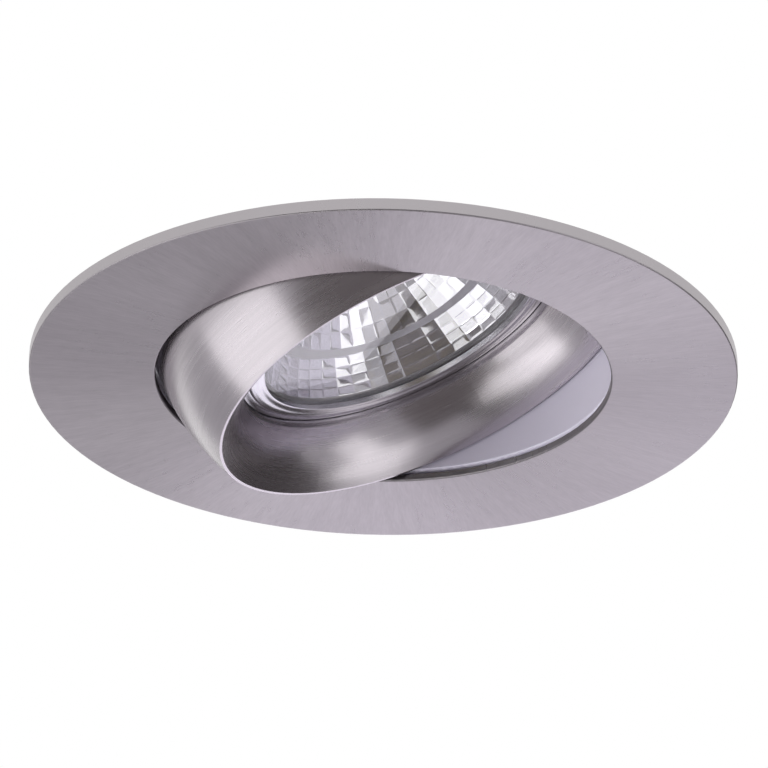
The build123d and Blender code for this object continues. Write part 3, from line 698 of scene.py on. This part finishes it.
def sharpen_facets(mesh, along, facet_points, faceted):
    """Marks the borders between facets, and the edges that run round the plain wall, as sharp."""
    ends = np.empty(len(mesh.edges) * 2, np.int32)
    mesh.edges.foreach_get("vertices", ends)
    ends = ends.reshape(-1, 2)
    column = ends // along
    place = ends % along
    tier_length = faceted // 2
    row = place % tier_length
    same_column = (column[:, 0] == column[:, 1])
    same_row = (place[:, 0] == place[:, 1])
    on_facets = (place < faceted).all(1)
    border = same_column & (column[:, 0] % facet_points == 0) & on_facets
    border |= same_row & (row[:, 0] % facet_points == 0) & on_facets
    border |= same_row & ~on_facets
    sharp = mesh.attributes.new("sharp_edge", "BOOLEAN", "EDGE")
    sharp.data.foreach_set("value", border)


def spring_line(sizes, pin):
    """Middle line of a clip spring, a helix between two straight legs, and half the helix's length.

    After a turn t from the arm's leg the helix is at
    pin + coil_radius (cos(start + t) x + sin(start + t) z) + (pitch t / (2 pi) - half) y.
    The legs leave along its tangents, less their part along y.
    """
    start = math.pi / 2 - sizes.arm_drop
    sweep = math.pi / 2 + sizes.arm_drop + 2 * math.pi * sizes.whole_turns
    coil_points = 64 * sizes.whole_turns
    turn = np.linspace(0, sweep, coil_points)
    angle = start + turn
    half = sizes.pitch * sweep / (2 * math.pi) / 2
    coil = np.stack((pin[0] + sizes.coil_radius * np.cos(angle),
                     pin[1] - half + sizes.pitch * turn / (2 * math.pi),
                     pin[2] + sizes.coil_radius * np.sin(angle)), 1)
    tangents = np.stack((-np.sin(angle), np.zeros_like(angle), np.cos(angle)), 1)
    leg_points = 8
    leg = np.linspace(0, 1, leg_points, endpoint=False)[:, None]
    first = coil[0] - tangents[0] * sizes.moving_leg * (1 - leg)
    last = coil[-1] + tangents[-1] * sizes.fixed_leg * (1 - leg[::-1])
    return np.concatenate((first, coil, last)), half


def round_wire(name, line, radius, sides, material):
    """A round wire along a line that runs across the y axis, with flat ends.

    At each point the ring is line + radius (cos b n + sin b m), where n and m are square to the
    line's direction and m is the y axis less its part along that direction.
    """
    ahead = np.gradient(line, axis=0)
    ahead /= np.linalg.norm(ahead, axis=1, keepdims=True)
    second = np.array((0.0, 1.0, 0.0)) - ahead[:, 1:2] * ahead
    second /= np.linalg.norm(second, axis=1, keepdims=True)
    normal = np.cross(second, ahead)
    turn = np.linspace(0, 2 * math.pi, sides, endpoint=False)
    ring = np.cos(turn)[:, None] * normal[:, None] + np.sin(turn)[:, None] * second[:, None]
    points = line[:, None] + radius * ring
    faces = grid_faces(len(line), sides, False, True)[:, ::-1].tolist()
    last = (len(line) - 1) * sides
    faces.append(list(range(sides - 1, -1, -1)))
    faces.append(list(range(last, last + sides)))
    return new_piece(name, points, faces, material)


class SPOTLIGHT_OT_trim(bpy.types.Operator):
    """Brushed nickel on the trim ring and foam on its gasket"""

    bl_idname = "spotlight.trim"
    bl_label = "Trim and Gasket"

    def execute(self, context):
        finish = context.scene.spotlight_finish
        dress(trim_nickel(finish), "trim_ring")
        dress(foam("gasket foam", (0.20, 0.20, 0.21)), "ceiling_gasket")
        return {"FINISHED"}


class SPOTLIGHT_OT_socket(bpy.types.Operator):
    """Pale moulded socket ring with its snap ring"""

    bl_idname = "spotlight.socket"
    bl_label = "Socket Ring"

    def execute(self, context):
        finish = context.scene.spotlight_finish
        plastic = moulded("socket plastic", finish.socket,
                          roughness=0.38, fineness=1500.0, depth=0.002 * MM)
        dress(plastic, "swivel_ring")
        snap_steel = plated_metal("snap ring steel", (0.42, 0.41, 0.40),
                                  roughness=0.34, fineness=2500.0, depth=0.002 * MM)
        dress(snap_steel, "swivel_snap_ring")
        return {"FINISHED"}


class SPOTLIGHT_OT_head(bpy.types.Operator):
    """Turned nickel on the ball head, with its pivot screws and friction washers"""

    bl_idname = "spotlight.head"
    bl_label = "Head"

    def execute(self, context):
        finish = context.scene.spotlight_finish
        dress(head_nickel(finish), "head_bezel")
        screw_steel = plated_metal("screw steel", (0.56, 0.55, 0.53),
                                   roughness=0.28, fineness=2200.0, depth=0.003 * MM)
        dress(screw_steel, "pivot_screws", "heat_sink_screws", "holder_screws", "clip_screws",
              *both("clip_pin"))
        fibre = moulded("washer fibre", (0.30, 0.14, 0.09),
                        roughness=0.75, fineness=2600.0, depth=0.02 * MM)
        dress(fibre, "tilt_washers")
        return {"FINISHED"}


class SPOTLIGHT_OT_lens(bpy.types.Operator):
    """Bright lens ring and clear lens, and the pale silicone of its seal and of the clip pads"""

    bl_idname = "spotlight.lens"
    bl_label = "Lens"

    def execute(self, context):
        finish = context.scene.spotlight_finish
        chrome = turned_metal("lens ring chrome", finish.chrome, roughness=0.17, fineness=1200.0,
                              depth=0.001 * MM, pitch=1.05 * MM, groove=0.04 * MM)
        dress(chrome, "lens_ring")
        dress(lens_glass(finish.glass), "lens")
        silicone = moulded("pale silicone", (0.84, 0.83, 0.86),
                           roughness=0.62, fineness=1700.0, depth=0.01 * MM)
        dress(silicone, "lens_seal", *both("clip_pad"))
        return {"FINISHED"}


class SPOTLIGHT_OT_reflector(bpy.types.Operator):
    """Two tiers of cushioned mirror facets in place of the plain reflector"""

    bl_idname = "spotlight.reflector"
    bl_label = "Reflector"

    def execute(self, context):
        finish = context.scene.spotlight_finish
        satin = moulded("satin step", finish.step, roughness=0.35, fineness=1800.0, depth=0.002 * MM)
        piece = build_reflector(context.scene.spotlight_reflector, mirror_coating(finish.mirror), satin)
        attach(piece, "head")
        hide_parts("reflector")
        return {"FINISHED"}


class SPOTLIGHT_OT_source(bpy.types.Operator):
    """Light source: phosphor disc, board, thermal pad and clamp"""

    bl_idname = "spotlight.source"
    bl_label = "Light Source"

    def execute(self, context):
        gel = moulded("phosphor gel", (0.86, 0.66, 0.16),
                      roughness=0.55, fineness=3000.0, depth=0.01 * MM)
        dress(gel, "led_emitter")
        board = moulded("board white", (0.82, 0.82, 0.80),
                        roughness=0.35, fineness=1800.0, depth=0.002 * MM)
        dress(board, "cob_board")
        pad = moulded("thermal silicone", (0.42, 0.44, 0.46),
                      roughness=0.8, fineness=2400.0, depth=0.01 * MM)
        dress(pad, "thermal_pad")
        clamp = moulded("clamp plastic", (0.80, 0.80, 0.78),
                        roughness=0.42, fineness=1600.0, depth=0.004 * MM)
        dress(clamp, "cob_holder")
        return {"FINISHED"}


class SPOTLIGHT_OT_heat_sink(bpy.types.Operator):
    """Blasted cast aluminium on the heat sink and black rubber in its cable hole"""

    bl_idname = "spotlight.heat_sink"
    bl_label = "Heat Sink"

    def execute(self, context):
        finish = context.scene.spotlight_finish
        cast = plated_metal("cast aluminium", finish.aluminium, roughness=0.42, fineness=2600.0,
                            depth=0.08 * MM, unevenness=0.35)
        dress(cast, "heat_sink")
        rubber = moulded("black rubber", (0.03, 0.03, 0.032),
                         roughness=0.6, fineness=2400.0, depth=0.01 * MM)
        dress(rubber, "cable_grommet")
        return {"FINISHED"}


class SPOTLIGHT_OT_clips(bpy.types.Operator):
    """Plated clip brackets and arms, and wire torsion springs in place of the CAD springs"""

    bl_idname = "spotlight.clips"
    bl_label = "Spring Clips"

    def execute(self, context):
        finish = context.scene.spotlight_finish
        sizes = context.scene.spotlight_spring
        dress(zinc_steel(finish.steel), *both("clip_bracket"), *both("clip_arm"))
        wire_steel = plated_metal("spring wire", (0.46, 0.45, 0.44),
                                  roughness=0.26, fineness=3000.0, depth=0.002 * MM)
        wire_sides = 14
        for side, half_turn in (("right", 1.0), ("left", -1.0)):
            pin = np.array(joints[f"clip_{side}_fold"]["pos_m"]) * (half_turn, half_turn, 1.0)
            line, half = spring_line(sizes, pin)
            line *= (half_turn, half_turn, 1.0)
            piece = round_wire(f"clip_spring_wire_{side}", line, sizes.wire / 2, wire_sides, wire_steel)
            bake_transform(piece)
            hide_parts(f"clip_spring_{side}")
        return {"FINISHED"}


def direction(turn, rise):
    """Unit direction from the light, for a turn from the camera's side to the right and a rise."""
    level = math.cos(rise)
    return Vector((math.sin(turn) * level, -math.cos(turn) * level, math.sin(rise)))


def softbox(name, azimuth, elevation, width, height, level, distance=0.8, colour=(1.0, 1.0, 1.0)):
    """A soft lamp that faces the light from a direction, with a level that is its brightness.

    Azimuth 0 is the camera's side and 90 is the right. A lamp of power P and area A has the
    brightness P / (pi A).
    """
    lamp = bpy.data.lights.new(name, "AREA")
    lamp.shape = "RECTANGLE"
    lamp.size = width
    lamp.size_y = height
    lamp.energy = level * math.pi * width * height
    lamp.color = colour
    stand = bpy.data.objects.new(name, lamp)
    way = direction(math.radians(azimuth), math.radians(elevation))
    stand.location = way * distance
    stand.rotation_euler = way.to_track_quat("Z", "Y").to_euler()
    stand.visible_camera = False
    bpy.context.scene.collection.objects.link(stand)
    return stand


def flat_board(name, inner, outer, level, turn, whole, material):
    """A flat board of quads at a level, between two radii and over the angles of a turn."""
    radius = np.array((inner, outer))
    points = np.stack((np.cos(turn)[:, None] * radius, np.sin(turn)[:, None] * radius,
                       np.full((len(turn), 2), level)), -1)
    faces = grid_faces(len(turn), 2, whole, False)
    board = new_piece(name, points, faces, material)
    return board


def seen_white(sheet):
    """1 for camera, glossy and transmission rays, which see the plain white background."""
    path = sheet.add("ShaderNodeLightPath").outputs
    seen = sheet.math("MAXIMUM", path["Is Camera Ray"], path["Is Glossy Ray"])
    return sheet.math("MAXIMUM", seen, path["Is Transmission Ray"])


def bare_material(name):
    """A material with an empty node tree, and the sheet for its nodes."""
    material = bpy.data.materials.new(name)
    material.use_nodes = True
    material.node_tree.nodes.clear()
    return material, Sheet(material.node_tree)


def seen_from_below(sheet, shader, share):
    """Shows a share of a shader on a board's lower side, and is clear otherwise."""
    clear = sheet.add("ShaderNodeBsdfTransparent").outputs[0]
    behind = sheet.add("ShaderNodeNewGeometry").outputs["Backfacing"]
    shown = sheet.math("MULTIPLY", share, sheet.math("SUBTRACT", 1.0, behind))
    mix = sheet.add("ShaderNodeMixShader", {0: shown, 1: clear, 2: shader})
    sheet.add("ShaderNodeOutputMaterial", {"Surface": mix.outputs[0]})


def ceiling_white():
    """White from below for the rays that see the background, clear from above and for the lamps."""
    material, sheet = bare_material("white ceiling")
    white = sheet.add("ShaderNodeEmission", {"Strength": 1.0}).outputs[0]
    seen_from_below(sheet, white, share=seen_white(sheet))
    return material


def ceiling_dark(colour):
    """Plain dull cloth on its lower side, and clear from above."""
    material, sheet = bare_material("ceiling cloth")
    dull = sheet.add("ShaderNodeBsdfDiffuse", {"Color": rgba(colour)}).outputs[0]
    seen_from_below(sheet, dull, share=1.0)
    return material


def room_world(level):
    """Even room light, with a white background for the rays that see it."""
    world = bpy.data.worlds.new("studio")
    world.use_nodes = True
    world.node_tree.nodes.clear()
    sheet = Sheet(world.node_tree)
    strength = sheet.span(seen_white(sheet), level, 1.0)
    light = sheet.add("ShaderNodeBackground", {"Color": (1.0, 1.0, 1.0, 1.0), "Strength": strength})
    sheet.add("ShaderNodeOutputWorld", {"Surface": light.outputs[0]})
    return world


def cloth_weave(name, colour):
    """Dull cloth for the stage."""
    return moulded(name, colour, roughness=0.9, fineness=300.0, depth=0.2 * MM)


def dark_cloth(name, material, azimuth, elevation, width, height, distance):
    """A flat dark cloth in a direction, which polished metal shows; the camera doesn't see it."""
    way = np.array(direction(math.radians(azimuth), math.radians(elevation)))
    across = np.cross(way, (0.0, 0.0, 1.0))
    across *= width / 2 / np.linalg.norm(across)
    rise = np.cross(across, way)
    rise *= height / 2 / np.linalg.norm(rise)
    middle = way * distance
    low = middle - rise
    high = middle + rise
    points = np.array((low - across, low + across, high + across, high - across))
    piece = new_piece(name, points, [(0, 1, 2, 3)], material)
    piece.visible_camera = False


def aim_camera(settings):
    """The camera on the photographed side, looking at the middle of the trim's face."""
    target = Vector((0.0, 0.0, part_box("trim_ring")[0].z))
    back = direction(settings.azimuth, settings.elevation)
    data = bpy.data.cameras.new("camera")
    data.lens = settings.focal_length
    data.shift_x, data.shift_y = settings.shift
    camera = bpy.data.objects.new("camera", data)
    camera.location = target + back * settings.distance
    camera.rotation_mode = "QUATERNION"
    camera.rotation_quaternion = Quaternion(-back, settings.roll) @ (-back).to_track_quat("-Z", "Y")
    bpy.context.scene.collection.objects.link(camera)
    bpy.context.scene.camera = camera


class SPOTLIGHT_OT_stage(bpy.types.Operator):
    """White ceiling, plain floor, soft lamps, dark cloths and the camera"""

    bl_idname = "spotlight.stage"
    bl_label = "Studio"

    def execute(self, context):
        settings = context.scene.spotlight_stage
        context.scene.view_settings.view_transform = "Standard"
        context.scene.world = room_world(settings.room_light)
        trim_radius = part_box("trim_ring")[1].x
        board_gap = 0.5 * MM
        cloth_gap = 1.0 * MM
        ring_sides = 128
        cloth_sides = 32
        cloth_turn = math.radians(115)
        full_turn = np.linspace(0, 2 * math.pi, ring_sides, endpoint=False)
        far_side = np.linspace(0, cloth_turn, cloth_sides + 1)
        flat_board("ceiling", inner=trim_radius - board_gap, outer=1.0, level=-board_gap,
                   turn=full_turn, whole=True, material=ceiling_white())
        cover = flat_board("ceiling_cloth", inner=trim_radius + cloth_gap, outer=0.9,
                           level=-cloth_gap, turn=far_side, whole=False,
                           material=ceiling_dark((0.15, 0.14, 0.14)))
        cover.visible_camera = False
        floor = moulded("plain floor", settings.floor_colour,
                        roughness=0.8, fineness=8.0, depth=0.1 * MM)
        flat_board("floor", inner=0.1 * MM, outer=200.0, level=-settings.floor_depth,
                   turn=full_turn[::-1], whole=True, material=floor)
        softbox("left softbox", azimuth=276.5, elevation=-28, width=0.70, height=0.54, level=0.93)
        softbox("low softbox", azimuth=282, elevation=-67, width=0.80, height=0.42, level=0.92)
        softbox("low strip", azimuth=255, elevation=-60, width=0.50, height=0.16, level=0.35)
        softbox("right softbox", azimuth=61, elevation=-19, width=0.30, height=0.30, level=0.78)
        softbox("right low softbox", azimuth=77, elevation=-40, width=0.56, height=0.34, level=0.82)
        violet_white = (0.92, 0.88, 1.0)
        softbox("far softbox", azimuth=163, elevation=-14, width=0.38, height=0.42, level=0.78,
                colour=violet_white)
        softbox("far high softbox", azimuth=174, elevation=-10, width=0.36, height=0.20, level=0.55,
                colour=violet_white)
        softbox("far left softbox", azimuth=196, elevation=-34, width=0.42, height=0.21, level=1.0,
                distance=2.0)
        softbox("top lamp", azimuth=180, elevation=60, width=3.2, height=3.2, level=0.5, distance=2.2)
        fill = softbox("socket fill", azimuth=292, elevation=-28, width=0.5, height=0.5, level=4.2,
                       colour=(0.97, 0.96, 1.0))
        fill.visible_glossy = False
        grey = cloth_weave("grey cloth", (0.22, 0.20, 0.20))
        black = cloth_weave("black cloth", (0.12, 0.11, 0.11))
        dark_cloth("camera_cloth", grey, azimuth=347, elevation=-34,
                   width=1.6, height=1.2, distance=1.2)
        dark_cloth("low_cloth", black, azimuth=350, elevation=-70,
                   width=0.36, height=0.5, distance=0.9)
        dark_cloth("far_right_cloth", black, azimuth=119, elevation=-8,
                   width=0.94, height=0.85, distance=0.9)
        dark_cloth("low_right_cloth", black, azimuth=130, elevation=-70,
                   width=0.3, height=0.45, distance=0.9)
        dark_cloth("far_high_cloth", grey, azimuth=165, elevation=20,
                   width=1.6, height=0.55, distance=0.95)
        aim_camera(settings)
        return {"FINISHED"}


class SPOTLIGHT_PT_panel(bpy.types.Panel):
    """Lists the spotlight's pieces and settings"""

    bl_idname = "SPOTLIGHT_PT_panel"
    bl_label = "Spotlight"
    bl_space_type = "VIEW_3D"
    bl_region_type = "UI"
    bl_category = "Spotlight"

    def draw(self, context):
        for operator in operators:
            self.layout.operator(operator.bl_idname)
        for name, group in settings_groups.items():
            box = self.layout.box()
            box.label(text=group.__doc__)
            for key in group.__annotations__:
                box.prop(getattr(context.scene, name), key)


operators = (
    SPOTLIGHT_OT_trim,
    SPOTLIGHT_OT_socket,
    SPOTLIGHT_OT_head,
    SPOTLIGHT_OT_lens,
    SPOTLIGHT_OT_reflector,
    SPOTLIGHT_OT_source,
    SPOTLIGHT_OT_heat_sink,
    SPOTLIGHT_OT_clips,
    SPOTLIGHT_OT_stage,
)
settings_groups = {
    "spotlight_finish": SpotlightFinish,
    "spotlight_reflector": SpotlightReflector,
    "spotlight_spring": SpotlightSpring,
    "spotlight_stage": SpotlightStage,
}


def register():
    """Registers the settings, the operators and the panel."""
    for name, group in settings_groups.items():
        bpy.utils.register_class(group)
        setattr(bpy.types.Scene, name, bpy.props.PointerProperty(type=group))
    for operator in operators:
        bpy.utils.register_class(operator)
    bpy.utils.register_class(SPOTLIGHT_PT_panel)


def unregister():
    """Takes back what register made."""
    bpy.utils.unregister_class(SPOTLIGHT_PT_panel)
    for operator in reversed(operators):
        bpy.utils.unregister_class(operator)
    for name, group in settings_groups.items():
        delattr(bpy.types.Scene, name)
        bpy.utils.unregister_class(group)


def main():
    """Builds every piece in order."""
    register()
    bpy.ops.spotlight.trim()
    bpy.ops.spotlight.socket()
    bpy.ops.spotlight.head()
    bpy.ops.spotlight.lens()
    bpy.ops.spotlight.reflector()
    bpy.ops.spotlight.source()
    bpy.ops.spotlight.heat_sink()
    bpy.ops.spotlight.clips()
    bpy.ops.spotlight.stage()


if __name__ == "__main__":
    main()
